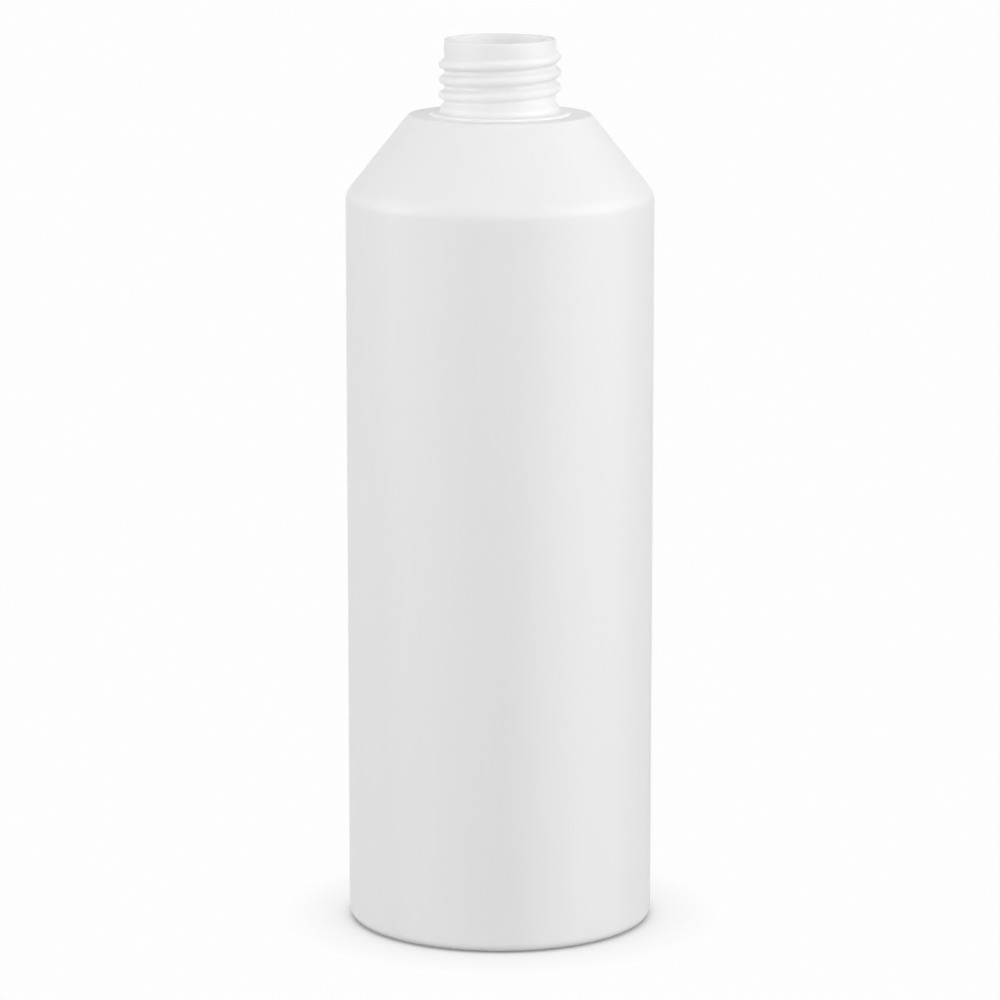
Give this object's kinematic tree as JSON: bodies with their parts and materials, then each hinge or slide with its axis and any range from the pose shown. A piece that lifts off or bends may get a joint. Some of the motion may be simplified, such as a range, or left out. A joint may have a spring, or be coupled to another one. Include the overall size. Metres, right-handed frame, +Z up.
{
  "type": "pharmacy bottle",
  "caption": "Blow-moulded round plastic bottle with a cone shoulder and a threaded open neck, for holding and pouring liquids.",
  "frame": {"origin": "middle of the circle that the bottle stands on, at its foot", "axes": "+Z up the bottle's axis, out of its mouth; the lower end of the thread lies 10 degrees left of +X"},
  "size_m": [0.065, 0.065, 0.189],
  "materials": {
    "white_plastic": "satin"
  },
  "bodies": {
    "root": {"bottle": "white_plastic"}
  },
  "joints": []
}
